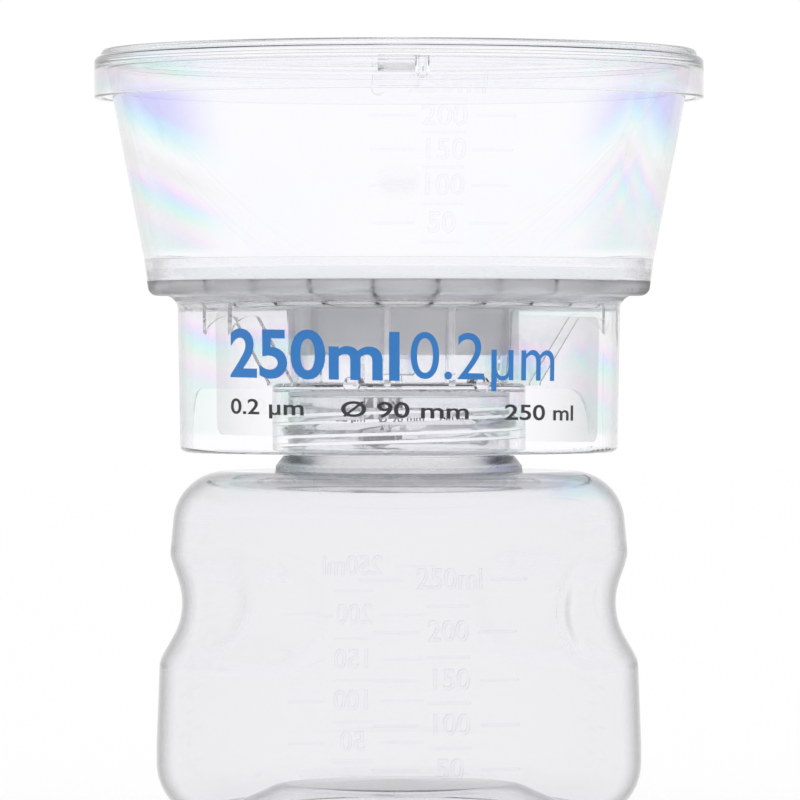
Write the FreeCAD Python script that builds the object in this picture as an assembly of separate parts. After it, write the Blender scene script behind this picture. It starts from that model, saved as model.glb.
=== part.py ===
import FreeCAD, Part
import math
import os
from FreeCAD import Vector

# Vacuum filtration unit, 250 ml: a lidded funnel welded to a filter base that screws
# onto a receiver bottle. Millimetres, +Z up, the origin under the middle of the bottle
# on the surface that it stands on. The filter base's front faces -Y and its hose port +Y.

# ---- how the pieces are turned about Z, seen from above, positive anticlockwise
BOTTLE_TURN = 2.7
LID_TURN = -4.7
LABEL_TURN = -4.7

# ---- receiver bottle, blow moulded with one even wall
BOTTLE_WALL = 1.4
BOTTLE_HEEL_R = 45.75           # widest place, above the rounded heel
BOTTLE_HEEL_ROUND = 10.9
BOTTLE_BELLY_Z = 28.7
BOTTLE_BELLY_R = 45.2
BOTTLE_SHOULDER_Z = 66.2
BOTTLE_SHOULDER_R = 41.7
BOTTLE_SHOULDER_ROUND = 10.0
PUSH_UP_Z = 6.2
STAND_R = 31.5                  # inner edge of the flat ring that it stands on

# finger grips: a groove of round section along each side, with round ends
GRIP_Z = 41.0
GRIP_DEEPEST_R = 40.94
GRIP_ROUND = 12.8
GRIP_HALF_ANGLE = 47.0          # to the centre of the round end

# ---- bottle neck and its screw thread
NECK_BORE_R = 18.9
NECK_R = 20.9
NECK_TOP_Z = 80.2
BEAD_R = 23.25
BEAD_Z = (65.0, 66.8)
BEAD_CHAMFER_TOP = (21.8, 68.7)
THREAD_PITCH = 4.0
THREAD_TURNS = 1.5
THREAD_ROOT_WIDTH = 2.1
THREAD_CREST_WIDTH = 0.9
THREAD_HEIGHT = 1.3
THREAD_CLEARANCE = 0.3          # crest to root, all round
NECK_THREAD_Z = 71.6            # middle of the ridge where it starts
COLLAR_THREAD_LEAD = 150.0      # degrees round from there to the collar's ridge
THREAD_SINK = 0.4               # how far a ridge is rooted in its wall

# ---- neck gasket
GASKET_THICK = 1.2
GASKET_BORE_R = 19.0

# ---- filter base: threaded collar, tube, skirt, plate and cup
COLLAR_R = 23.9
COLLAR_BOTTOM_Z = 69.6
COLLAR_TOP_Z = 82.6
COLLAR_BORE_R = NECK_R + THREAD_HEIGHT + THREAD_CLEARANCE
SEAT_Z = NECK_TOP_Z + GASKET_THICK
TUBE_BORE_R = 19.0
TUBE_R = (20.7, 22.0)           # outside, at the collar and at the plate
TUBE_TOP_BORE_R = 20.3
SKIRT_BOTTOM_Z = 69.4
SKIRT_BOTTOM_R = 41.25
SKIRT_TOP_R = 41.8
SKIRT_INNER_R = (39.5, 39.8)    # at the bottom and at the top
PLATE_Z = (98.8, 100.2)
RIB_TOP_Z = 101.7
CUP_BOTTOM_R = 47.1
CUP_TOP_Z = 105.7
CUP_TOP_R = 48.06
CUP_BORE_R = (46.6, 46.9)       # at the membrane and at the top
MEMBRANE_LEDGE_R = 45.0
OUTLET_R = 2.0
SPOUT_Z = 84.0
SPOUT_R = (3.0, 3.6)
NOTCH_TOP_Z = 81.5
NOTCH_HALF_ANGLE = 78.0
NOTCH_ROUND = 9.0

# arched webs in pairs from the collar to the skirt, under the plate
WEB_THICK = 1.2
WEB_OFFSET = 4.1                # from the middle of a pair
WEB_PAIR_ANGLES = (-65.0, 65.0, 180.0)
WEB_FOOT_R = 26.4
WEB_KNEE = (33.9, 95.0)
WEB_ARCH_ROUND = 4.5
WEB_SKIRT_Z = 88.0
FRONT_RIB_OFFSET = 6.0
FRONT_RIB_R = 24.6
PIP_ANGLES = (-30.0, 30.0)
PIP_R = 1.55
PIP_Z = 82.3

# drain ribs on the plate, which hold the membrane up
DRAIN_RIB_COUNT = 24
DRAIN_RIB_WIDTH = 0.8
DRAIN_RIB_R = (7.0, 18.0)       # inner ends, taken in turn
DRAIN_RING_R = (12.0, 24.0, 36.0)

# hose port at the back, below the plate, fed from the tube through a channel
PORT_Z = 75.4
PORT_CHANNEL_Y = 26.8
PORT_CHANNEL_R = 1.9
PORT_WINDOW_Z = 87.0
PORT_BOX = (9.0, 31.0)          # width, and how far back it reaches
PORT_BOX_Z = (71.0, 91.0)
SOCKET_R = 3.0
SOCKET_Y = (28.9, 36.0)
SOCKET_WALL_R = 5.0

# ---- hose adapter, pressed into the port
SPIGOT_R = 2.97
SPIGOT_START_Y = 31.0
FLANGE_R = 5.0
FLANGE_Y = (36.0, 37.5)
HOSE_LAND_R = 3.4
HOSE_LAND_END_Y = 43.5
HOSE_BARB_R = 4.3
HOSE_BARB_TIP_R = 3.4
HOSE_BARB_LENGTH = 4.0
HOSE_BARB_COUNT = 3
HOSE_BORE_R = 1.9

# ---- membrane and funnel
MEMBRANE_R = 46.4
MEMBRANE_THICK = 0.2
FUNNEL_FOOT_Z = RIB_TOP_Z + MEMBRANE_THICK
WELD_GAP = 0.05
FUNNEL_FOOT_BORE_R = 45.3
FUNNEL_TOP_Z = 141.9
FUNNEL_TOP_R = 55.08
FUNNEL_WALL = 1.5               # at the rim

# ---- lid
LID_R = 57.45
LID_BOTTOM_Z = 136.0
LID_SHOULDER_Z = 143.9
LID_RIM_R = (53.6, 56.2)
LID_TOP_Z = 145.2
LID_PANEL_Z = (141.0, 142.4)
LID_PLUG_R = 52.9
LID_BORE_R = 55.95
VENT_RIB_R = 1.3
VENT_RIB_CENTRE_R = 56.6
VENT_RIB_BOTTOM_Z = 139.7
GATE_HOLLOW = (3.6, 1.6)        # radius and depth, under the panel
GATE_DOME = (5.0, 1.3)          # radius and height, on top of it

# ---- label film on the skirt
LABEL_THICK = 0.12
LABEL_GAP = 0.02
LABEL_HALF_ANGLE = 58.7
LABEL_MIDDLE_Z = 83.9
LABEL_HALF_HEIGHT = 11.6
LABEL_TILT = 1.2                # degrees, down towards +X

Z_AXIS = Vector(0, 0, 1)
ORIGIN = Vector(0, 0, 0)


def section(corners):
    """Face in the XZ plane through corners (r, z), or (r, z, radius) for a rounded one."""
    points = [Vector(corner[0], 0, corner[1]) for corner in corners]
    turns = []
    for i, corner in enumerate(corners):
        here = points[i]
        if len(corner) < 3:
            turns.append((here, None, here))
            continue
        radius = corner[2]
        back = (points[i - 1] - here).normalize()
        ahead = (points[(i + 1) % len(points)] - here).normalize()
        half = back.getAngle(ahead) / 2
        reach = radius / math.tan(half)
        middle = here + (back + ahead).normalize() * (radius / math.sin(half) - radius)
        turns.append((here + back * reach, middle, here + ahead * reach))
    edges = []
    for i, (start, middle, end) in enumerate(turns):
        if middle is not None:
            edges.append(Part.Arc(start, middle, end).toShape())
        following = turns[(i + 1) % len(turns)][0]
        if end.distanceToPoint(following) > 1e-6:
            edges.append(Part.LineSegment(end, following).toShape())
    return Part.Face(Part.Wire(edges))


def turned(corners, angle=360.0):
    """Solid of revolution about Z from a section's corners."""
    return section(corners).revolve(ORIGIN, Z_AXIS, angle)


def at_angle(shape, angle):
    """A shape made along +X, turned so that it points angle degrees from -Y towards +X."""
    copy = shape.copy()
    copy.rotate(ORIGIN, Z_AXIS, angle - 90.0)
    return copy


def along_y(shape):
    """A shape made along +Z, laid along +Y at the height of the hose port."""
    copy = shape.copy()
    copy.rotate(ORIGIN, Vector(1, 0, 0), -90.0)
    copy.translate(Vector(0, 0, PORT_Z))
    return copy


def fuse_all(shapes):
    """One solid from shapes that overlap."""
    return shapes[0].multiFuse(shapes[1:]).removeSplitter()


def thread_ridge(wall_r, crest_r, lead_angle, offset):
    """Right-hand ridge of trapezium section, from a wall's radius to its crest.

    It starts lead_angle degrees up the neck's own helix, and offset above it."""
    inwards = -1.0 if crest_r < wall_r else 1.0
    flank = (THREAD_ROOT_WIDTH - THREAD_CREST_WIDTH) / 2 / abs(crest_r - wall_r)
    rooted_half = THREAD_ROOT_WIDTH / 2 + flank * THREAD_SINK
    rooted_r = wall_r - inwards * THREAD_SINK
    corners = [
        Vector(rooted_r, 0, -rooted_half),
        Vector(crest_r, 0, -THREAD_CREST_WIDTH / 2),
        Vector(crest_r, 0, THREAD_CREST_WIDTH / 2),
        Vector(rooted_r, 0, rooted_half),
    ]
    profile = Part.makePolygon(corners + corners[:1])
    helix = Part.makeHelix(THREAD_PITCH, THREAD_PITCH * THREAD_TURNS, wall_r)
    ridge = Part.Wire(helix.Edges).makePipeShell([profile], True, True)
    ridge.rotate(ORIGIN, Z_AXIS, lead_angle + BOTTLE_TURN)
    ridge.translate(Vector(0, 0, NECK_THREAD_Z + offset + THREAD_PITCH * lead_angle / 360.0))
    return ridge


def grip_groove(extra):
    """One finger grip's cutter, larger all round by extra, on the +X side."""
    centre_r = GRIP_DEEPEST_R + GRIP_ROUND
    radius = GRIP_ROUND + extra
    disc = Part.Face(Part.Wire(Part.Circle(Vector(centre_r, 0, GRIP_Z), Vector(0, 1, 0), radius).toShape()))
    groove = disc.revolve(ORIGIN, Z_AXIS, 2 * GRIP_HALF_ANGLE)
    groove.rotate(ORIGIN, Z_AXIS, -GRIP_HALF_ANGLE)
    pieces = [groove]
    for angle in (-GRIP_HALF_ANGLE, GRIP_HALF_ANGLE):
        end = Part.makeSphere(radius, Vector(centre_r, 0, GRIP_Z))
        end.rotate(ORIGIN, Z_AXIS, angle)
        pieces.append(end)
    return pieces[0].multiFuse(pieces[1:])


def make_receiver_bottle():
    """Bottle with a pushed-up floor, finger grips, a beaded neck and an outside thread."""
    side_slope = (BOTTLE_SHOULDER_R - BOTTLE_BELLY_R) / (BOTTLE_SHOULDER_Z - BOTTLE_BELLY_Z)
    wall = BOTTLE_WALL
    outside = turned([
        (0, PUSH_UP_Z), (22.0, PUSH_UP_Z - 1.0, 6.0), (STAND_R, 0), (BOTTLE_HEEL_R, 0, BOTTLE_HEEL_ROUND),
        (BOTTLE_HEEL_R, 14.0), (BOTTLE_BELLY_R, BOTTLE_BELLY_Z),
        (BOTTLE_SHOULDER_R, BOTTLE_SHOULDER_Z, BOTTLE_SHOULDER_ROUND),
        (BEAD_R, BEAD_Z[0] + 0.6), (BEAD_R, BEAD_Z[1], 0.3), BEAD_CHAMFER_TOP, (NECK_R, BEAD_CHAMFER_TOP[1]),
        (NECK_R, NECK_TOP_Z, 0.4), (0, NECK_TOP_Z),
    ])
    inside = turned([
        (0, PUSH_UP_Z + wall), (22.6, PUSH_UP_Z - 1.0 + wall, 6.0), (STAND_R + 0.5, wall),
        (BOTTLE_HEEL_R - wall, wall, BOTTLE_HEEL_ROUND - wall),
        (BOTTLE_HEEL_R - wall, 14.0), (BOTTLE_BELLY_R - wall, BOTTLE_BELLY_Z),
        (BOTTLE_SHOULDER_R - wall - side_slope * wall, BOTTLE_SHOULDER_Z - wall, BOTTLE_SHOULDER_ROUND - wall),
        (NECK_BORE_R, BEAD_Z[0] - 0.8, 1.5), (NECK_BORE_R, NECK_TOP_Z + 1), (0, NECK_TOP_Z + 1),
    ])
    for side in (0.0, 180.0):
        for volume, extra in ((0, 0.0), (1, wall)):
            groove = grip_groove(extra)
            groove.rotate(ORIGIN, Z_AXIS, side)
            if volume == 0:
                outside = outside.cut(groove)
            else:
                inside = inside.cut(groove)
    bottle = outside.cut(inside)
    bottle.rotate(ORIGIN, Z_AXIS, BOTTLE_TURN)
    return fuse_all([bottle, thread_ridge(NECK_R, NECK_R + THREAD_HEIGHT, 0.0, 0.0)])


def make_neck_gasket():
    """Flat ring between the neck's rim and the seat in the collar."""
    return turned([
        (GASKET_BORE_R, NECK_TOP_Z), (NECK_R, NECK_TOP_Z),
        (NECK_R, SEAT_Z), (GASKET_BORE_R, SEAT_Z),
    ])


def arched_web():
    """Web from the tube to the skirt along +X, open below in an arch."""
    face = section([
        (TUBE_R[0] - 0.8, COLLAR_TOP_Z - 0.5), (WEB_FOOT_R, COLLAR_TOP_Z - 0.5), (WEB_FOOT_R, COLLAR_TOP_Z),
        (WEB_KNEE[0], WEB_KNEE[1], 1.0), (SKIRT_INNER_R[1] - 0.1, WEB_KNEE[1], WEB_ARCH_ROUND),
        (SKIRT_INNER_R[0] + 0.15, WEB_SKIRT_Z), (SKIRT_INNER_R[1] + 0.6, WEB_SKIRT_Z),
        (SKIRT_INNER_R[1] + 0.6, PLATE_Z[0] + 0.6), (TUBE_R[0] - 0.8, PLATE_Z[0] + 0.6),
    ])
    web = face.extrude(Vector(0, WEB_THICK, 0))
    web.translate(Vector(0, -WEB_THICK / 2, 0))
    return web


def notch_cutter():
    """The wide opening in the back of the skirt, with round upper corners."""
    reach = (SKIRT_INNER_R[0] - 5.0, SKIRT_TOP_R + 5.0)
    below = SKIRT_BOTTOM_Z - 5.0
    sector = turned([(reach[0], below), (reach[1], below), (reach[1], NOTCH_TOP_Z), (reach[0], NOTCH_TOP_Z)],
                    2 * NOTCH_HALF_ANGLE)
    cutter = at_angle(sector, 180.0 - NOTCH_HALF_ANGLE)
    size = NOTCH_ROUND
    for side in (-1.0, 1.0):
        block = Part.makeBox(reach[1] - reach[0] + 2, 2 * size, 2 * size,
                             Vector(reach[0] - 1, -size, NOTCH_TOP_Z - size))
        drum = Part.makeCylinder(size, reach[1] - reach[0] + 2,
                                 Vector(reach[0] - 1, -side * size, NOTCH_TOP_Z - size), Vector(1, 0, 0))
        low = Part.makeBox(reach[1], size, 2 * size,
                           Vector(reach[0] - 1, -size if side > 0 else 0.0, NOTCH_TOP_Z - size))
        corner = block.common(low).cut(drum)
        cutter = cutter.cut(at_angle(corner, 180.0 + side * NOTCH_HALF_ANGLE))
    return cutter


def drain_ribs():
    """Radial ribs and rings that stand on the plate and hold the membrane level."""
    foot_z = PLATE_Z[1] - 0.3
    height = RIB_TOP_Z - foot_z
    ribs = []
    for i in range(DRAIN_RIB_COUNT):
        inner = DRAIN_RIB_R[i % len(DRAIN_RIB_R)]
        rib = Part.makeBox(MEMBRANE_LEDGE_R + 0.3 - inner, DRAIN_RIB_WIDTH, height,
                           Vector(inner, -DRAIN_RIB_WIDTH / 2, foot_z))
        ribs.append(at_angle(rib, i * 360.0 / DRAIN_RIB_COUNT))
    for radius in DRAIN_RING_R:
        half = DRAIN_RIB_WIDTH / 2
        ribs.append(turned([(radius - half, foot_z), (radius + half, foot_z),
                            (radius + half, RIB_TOP_Z), (radius - half, RIB_TOP_Z)]))
    return ribs


def port_channel_box():
    """Upright box at the back that carries the vacuum channel down to the hose port."""
    width, back = PORT_BOX
    box = Part.makeBox(width, back - 20.0, PORT_BOX_Z[1] - PORT_BOX_Z[0], Vector(-width / 2, 20.0, PORT_BOX_Z[0]))
    outer_edges = [e for e in box.Edges
                   if abs(e.Vertexes[0].X) > 1 and e.Vertexes[0].Y > back - 1 and e.Vertexes[1].Y > back - 1
                   and abs(e.Vertexes[0].Z - e.Vertexes[1].Z) > 1]
    return box.makeFillet(2.0, outer_edges)


def make_filter_base():
    """The moulding that carries the membrane: cup, plate, skirt, tube, collar and port."""
    shell = turned([
        (0, PLATE_Z[0]), (SKIRT_INNER_R[1], PLATE_Z[0], 3.0), (SKIRT_INNER_R[0], SKIRT_BOTTOM_Z, 0.4),
        (SKIRT_BOTTOM_R, SKIRT_BOTTOM_Z, 1.2), (SKIRT_TOP_R, PLATE_Z[0] + 0.1, 2.5),
        (CUP_BOTTOM_R, PLATE_Z[0] + 0.1, 1.7), (CUP_TOP_R, CUP_TOP_Z), (CUP_BORE_R[1], CUP_TOP_Z),
        (CUP_BORE_R[0], RIB_TOP_Z), (MEMBRANE_LEDGE_R, RIB_TOP_Z), (MEMBRANE_LEDGE_R, PLATE_Z[1]),
        (0, PLATE_Z[1]),
    ])
    shell = shell.cut(notch_cutter())
    tube = turned([(TUBE_BORE_R - 1, COLLAR_TOP_Z - 1), (TUBE_R[0], COLLAR_TOP_Z - 1),
                   (TUBE_R[1], PLATE_Z[0] + 0.5), (TUBE_BORE_R - 1, PLATE_Z[0] + 0.5)])
    collar = turned([(COLLAR_BORE_R - 4, COLLAR_BOTTOM_Z), (COLLAR_R, COLLAR_BOTTOM_Z, 0.8),
                     (COLLAR_R, COLLAR_TOP_Z, 0.8), (COLLAR_BORE_R - 4, COLLAR_TOP_Z)])
    parts = [shell, tube, collar, port_channel_box()]
    for pair in WEB_PAIR_ANGLES:
        for side in (-1.0, 1.0):
            web = arched_web()
            web.translate(Vector(0, side * WEB_OFFSET, 0))
            parts.append(at_angle(web, pair))
    for side in (-1.0, 1.0):
        rib = Part.makeBox(FRONT_RIB_R - TUBE_BORE_R, WEB_THICK, PLATE_Z[0] + 0.5 - COLLAR_TOP_Z + 0.5,
                           Vector(TUBE_BORE_R, side * FRONT_RIB_OFFSET - WEB_THICK / 2, COLLAR_TOP_Z - 0.5))
        parts.append(at_angle(rib, 0.0))
    for angle in PIP_ANGLES:
        pip = Part.makeCylinder(PIP_R, 3.0, Vector(COLLAR_R - 2.3, 0, PIP_Z), Vector(1, 0, 0))
        parts.append(at_angle(pip, angle))
    parts.append(along_y(Part.makeCylinder(SOCKET_WALL_R, SOCKET_Y[1] - 26.0, Vector(0, 0, 26.0))))
    body = fuse_all(parts)

    tube_bore = turned([(0, SEAT_Z - 1), (TUBE_BORE_R, SEAT_Z - 1), (TUBE_BORE_R, COLLAR_TOP_Z),
                        (TUBE_TOP_BORE_R, PLATE_Z[0]), (0, PLATE_Z[0])])
    collar_bore = turned([(0, COLLAR_BOTTOM_Z - 1), (COLLAR_BORE_R, COLLAR_BOTTOM_Z - 1),
                          (COLLAR_BORE_R, SEAT_Z, 0.5), (0, SEAT_Z)])
    channel = Part.makeCylinder(PORT_CHANNEL_R, PORT_WINDOW_Z + PORT_CHANNEL_R - PORT_Z + PORT_CHANNEL_R,
                                Vector(0, PORT_CHANNEL_Y, PORT_Z - PORT_CHANNEL_R))
    window = Part.makeCylinder(PORT_CHANNEL_R, PORT_CHANNEL_Y - 12.0,
                               Vector(0, 12.0, PORT_WINDOW_Z), Vector(0, 1, 0))
    socket = along_y(Part.makeCylinder(SOCKET_R, SOCKET_Y[1] - SOCKET_Y[0] + 1, Vector(0, 0, SOCKET_Y[0])))
    inlet = along_y(Part.makeCylinder(PORT_CHANNEL_R, SOCKET_Y[0] - PORT_CHANNEL_Y + 0.5,
                                      Vector(0, 0, PORT_CHANNEL_Y)))
    body = body.cut(tube_bore.multiFuse([collar_bore, channel, window, socket, inlet]))

    spout = turned([(0, SPOUT_Z), (SPOUT_R[0], SPOUT_Z, 0.5), (SPOUT_R[1], PLATE_Z[0] + 0.5), (0, PLATE_Z[0] + 0.5)])
    ridge = thread_ridge(COLLAR_BORE_R, NECK_R + THREAD_CLEARANCE, COLLAR_THREAD_LEAD, -THREAD_PITCH / 2)
    body = fuse_all([body, spout, ridge] + drain_ribs())
    outlet = Part.makeCylinder(OUTLET_R, RIB_TOP_Z - SPOUT_Z + 2, Vector(0, 0, SPOUT_Z - 1))
    return body.cut(outlet)


def make_fibre_plug():
    """Plug of fibre in the port, which keeps droplets out of the hose."""
    return along_y(Part.makeCylinder(SPIGOT_R, SPIGOT_START_Y - SOCKET_Y[0], Vector(0, 0, SOCKET_Y[0])))


def make_hose_adapter():
    """Spigot, flange and barbed end for the vacuum hose, with a bore through it."""
    corners = [(HOSE_BORE_R, SPIGOT_START_Y), (SPIGOT_R, SPIGOT_START_Y, 0.3), (SPIGOT_R, FLANGE_Y[0]),
               (FLANGE_R, FLANGE_Y[0], 0.2), (FLANGE_R, FLANGE_Y[1], 0.2),
               (HOSE_LAND_R, FLANGE_Y[1]), (HOSE_LAND_R, HOSE_LAND_END_Y)]
    for i in range(HOSE_BARB_COUNT):
        foot = HOSE_LAND_END_Y + i * HOSE_BARB_LENGTH
        corners += [(HOSE_BARB_R, foot), (HOSE_BARB_TIP_R, foot + HOSE_BARB_LENGTH)]
    tip = HOSE_LAND_END_Y + HOSE_BARB_COUNT * HOSE_BARB_LENGTH
    return along_y(turned(corners + [(HOSE_BORE_R, tip)]))


def make_membrane():
    """Filter membrane that lies on the drain ribs, its rim under the funnel's foot."""
    return Part.makeCylinder(MEMBRANE_R, MEMBRANE_THICK, Vector(0, 0, RIB_TOP_Z))


def make_funnel():
    """Tapered funnel whose foot is welded inside the cup, on the membrane's rim."""
    cup_taper = (CUP_BORE_R[1] - CUP_BORE_R[0]) / (CUP_TOP_Z - RIB_TOP_Z)
    foot_r = CUP_BORE_R[0] + cup_taper * MEMBRANE_THICK - WELD_GAP
    return turned([
        (FUNNEL_FOOT_BORE_R, FUNNEL_FOOT_Z), (foot_r, FUNNEL_FOOT_Z), (CUP_BORE_R[1] - WELD_GAP, CUP_TOP_Z),
        (CUP_TOP_R, CUP_TOP_Z), (FUNNEL_TOP_R, FUNNEL_TOP_Z, 0.4), (FUNNEL_TOP_R - FUNNEL_WALL, FUNNEL_TOP_Z, 0.4),
    ])


def ball_cap(size, foot_z):
    """Cap of a ball on a level, rooted a little below it. size holds its radius and height."""
    radius, height = size
    ball_r = (radius ** 2 + height ** 2) / (2 * height)
    ball = Part.makeSphere(ball_r, Vector(0, 0, foot_z + height - ball_r))
    return ball.common(Part.makeCylinder(ball_r, height + 0.7, Vector(0, 0, foot_z - 0.2)))


def make_lid():
    """Lid with a raised stacking rim, a sunk panel, two vent ribs and a domed gate."""
    lid = turned([
        (0, LID_PANEL_Z[0]), (LID_PLUG_R, LID_PANEL_Z[0], 0.3), (LID_PLUG_R, FUNNEL_TOP_Z),
        (LID_BORE_R, FUNNEL_TOP_Z, 0.4), (LID_BORE_R, LID_BOTTOM_Z, 0.4), (LID_R, LID_BOTTOM_Z, 0.4),
        (LID_R, LID_SHOULDER_Z, 1.2), (LID_RIM_R[1], LID_SHOULDER_Z), (LID_RIM_R[1], LID_TOP_Z, 0.9),
        (LID_RIM_R[0], LID_TOP_Z, 0.7), (LID_RIM_R[0] - 0.3, LID_PANEL_Z[1], 0.7), (0, LID_PANEL_Z[1]),
    ])
    ribs = []
    for angle in (0.0, 180.0):
        post = Part.makeCylinder(VENT_RIB_R, FUNNEL_TOP_Z + 0.3 - VENT_RIB_BOTTOM_Z,
                                 Vector(VENT_RIB_CENTRE_R, 0, VENT_RIB_BOTTOM_Z))
        end = Part.makeSphere(VENT_RIB_R, Vector(VENT_RIB_CENTRE_R, 0, VENT_RIB_BOTTOM_Z))
        band = turned([(LID_BORE_R - 2, LID_BOTTOM_Z), (LID_BORE_R + 0.6, LID_BOTTOM_Z),
                       (LID_BORE_R + 0.6, LID_SHOULDER_Z), (LID_BORE_R - 2, LID_SHOULDER_Z)])
        ribs.append(at_angle(post.fuse(end).common(band), angle))
    dome = ball_cap(GATE_DOME, LID_PANEL_Z[1])
    hollow = ball_cap(GATE_HOLLOW, LID_PANEL_Z[0])
    lid = fuse_all([lid, dome] + ribs).cut(hollow)
    lid.rotate(ORIGIN, Z_AXIS, LID_TURN)
    return lid


def make_label():
    """Clear film on the front of the skirt, a little askew, with cut corners."""
    slope = (SKIRT_TOP_R - SKIRT_BOTTOM_R) / (PLATE_Z[0] + 0.1 - SKIRT_BOTTOM_Z)
    low, high = SKIRT_BOTTOM_Z + 1.5, 97.5
    inner = [SKIRT_BOTTOM_R + slope * (z - SKIRT_BOTTOM_Z) + LABEL_GAP for z in (low, high)]
    film = turned([(inner[0], low), (inner[0] + LABEL_THICK, low), (inner[1] + LABEL_THICK, high), (inner[1], high)],
                  2 * LABEL_HALF_ANGLE)
    film = at_angle(film, LABEL_TURN - LABEL_HALF_ANGLE)
    window = Part.makeBox(200, 100, 2 * LABEL_HALF_HEIGHT, Vector(-100, -100, -LABEL_HALF_HEIGHT))
    window.rotate(ORIGIN, Vector(0, 1, 0), LABEL_TILT)
    window.translate(Vector(0, 0, LABEL_MIDDLE_Z))
    return film.common(window)


NODES = {
    "receiver_bottle": make_receiver_bottle,
    "neck_gasket": make_neck_gasket,
    "filter_base": make_filter_base,
    "fibre_plug": make_fibre_plug,
    "hose_adapter": make_hose_adapter,
    "membrane": make_membrane,
    "funnel": make_funnel,
    "lid": make_lid,
    "label_film": make_label,
}


def main():
    os.makedirs("parts", exist_ok=True)
    for name, make in NODES.items():
        shape = make()
        solids = shape.Solids
        if len(solids) == 1:
            shape = solids[0]
        shape.exportStep("parts/" + name + ".step")
        box = shape.BoundBox
        print(name, "solids", len(solids), "valid", shape.isValid(), "volume", round(shape.Volume, 1),
              "z", round(box.ZMin, 2), round(box.ZMax, 2), "x", round(box.XMin, 2), round(box.XMax, 2),
              "y", round(box.YMin, 2), round(box.YMax, 2))


main()
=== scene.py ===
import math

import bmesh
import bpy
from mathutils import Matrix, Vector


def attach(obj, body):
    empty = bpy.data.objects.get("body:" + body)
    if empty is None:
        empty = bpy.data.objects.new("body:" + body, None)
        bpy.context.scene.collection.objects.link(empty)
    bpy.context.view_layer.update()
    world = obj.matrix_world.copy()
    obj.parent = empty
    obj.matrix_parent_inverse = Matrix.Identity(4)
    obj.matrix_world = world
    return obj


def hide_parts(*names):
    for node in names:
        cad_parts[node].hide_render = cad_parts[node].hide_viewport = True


bl_info = {
    "name": "Vacuum Filtration Unit",
    "version": (1, 0, 0),
    "blender": (4, 5, 0),
    "location": "3D View > Sidebar > Filtration",
    "description": "Builds the visible pieces of a lidded vacuum filtration unit round its packed frame",
    "category": "Add Mesh",
}

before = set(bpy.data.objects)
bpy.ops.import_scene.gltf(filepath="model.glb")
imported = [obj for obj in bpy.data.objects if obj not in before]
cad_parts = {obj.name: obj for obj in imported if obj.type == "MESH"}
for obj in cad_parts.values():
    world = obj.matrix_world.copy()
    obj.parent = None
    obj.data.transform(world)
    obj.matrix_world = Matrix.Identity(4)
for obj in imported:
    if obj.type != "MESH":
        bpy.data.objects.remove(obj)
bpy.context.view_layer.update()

MM = 0.001
TURN = 2 * math.pi

# ---- clocking about Z, in degrees from the front (-Y) towards +X
BOTTLE_TURN = 2.7
LID_TURN = -4.7
LABEL_TURN = -4.7

# ---- receiver bottle, in millimetres
BOTTLE_WALL = 1.4
HEEL_R, HEEL_ROUND, HEEL_TOP_Z = 45.75, 10.9, 14.0
BELLY_R, BELLY_Z = 45.2, 28.7
SHOULDER_R, SHOULDER_Z, SHOULDER_ROUND = 41.7, 66.2, 10.0
PUSH_UP_Z, PUSH_UP_R, STAND_R = 6.2, 22.0, 31.5
BEAD_R, BEAD_LOW_Z, BEAD_HIGH_Z = 23.25, 65.6, 66.8
CHAMFER_R, CHAMFER_Z = 21.8, 68.7
NECK_R, NECK_BORE_R, NECK_TOP_Z = 20.9, 18.9, 80.2
THREAD_PITCH, THREAD_TURNS, THREAD_HEIGHT = 4.0, 1.5, 1.3
THREAD_ROOT, THREAD_CREST, THREAD_START_Z = 2.1, 0.9, 71.6
GRIP_Z, GRIP_DEEPEST_R, GRIP_ROUND, GRIP_HALF_ANGLE = 41.0, 40.94, 12.8, 47.0
GRIP_LIP = 2.4

# ---- funnel and cup
CUP_TOP_Z, CUP_TOP_R, CUP_BORE_R = 105.7, 48.06, (46.6, 46.9)
MEMBRANE_Z, MEMBRANE_THICK = 101.7, 0.2
FUNNEL_TOP_Z, FUNNEL_TOP_R, FUNNEL_WALL = 141.9, 55.08, 1.5
FUNNEL_FOOT_BORE_R, WELD_GAP, LID_GAP = 45.3, 0.05, 0.04
MARKS_FLOOR_Z = 104.5           # level that the funnel's volumes are counted from
BOTTLE_FLOOR_Z = 3.9            # and the bottle's, with its heel and pushed-up floor evened out

# ---- lid
LID_R, LID_BORE_R, LID_BOTTOM_Z = 57.45, 55.95, 136.0
LID_SHOULDER_Z, LID_TOP_Z = 143.9, 145.2
LID_RIM_IN_R, LID_RIM_OUT_R = 53.6, 56.2
LID_PANEL_LOW_Z, LID_PANEL_HIGH_Z = 142.6, 143.9
PLUG_IN_R, PLUG_OUT_R, PLUG_BOTTOM_Z = 51.4, 52.9, 140.85
GATE_BOSS_R, GATE_BOSS_Z, GATE_HOLLOW = 4.0, 140.85, (3.6, 2.0)
VENT_R, VENT_CENTRE_R, VENT_BOTTOM_Z = 1.3, 56.0, 137.8

# ---- skirt and label
SKIRT_BOTTOM_Z, SKIRT_BOTTOM_R = 69.4, 41.25
SKIRT_TOP_Z, SKIRT_TOP_R = 98.9, 41.8
LABEL_MIDDLE_Z, LABEL_HALF_HEIGHT, LABEL_HALF_ANGLE = 83.9, 11.6, 58.7
LABEL_TILT = 1.2
LABEL_GAP, LABEL_THICK, LABEL_CORNER = 0.02, 0.12, 2.0

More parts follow.
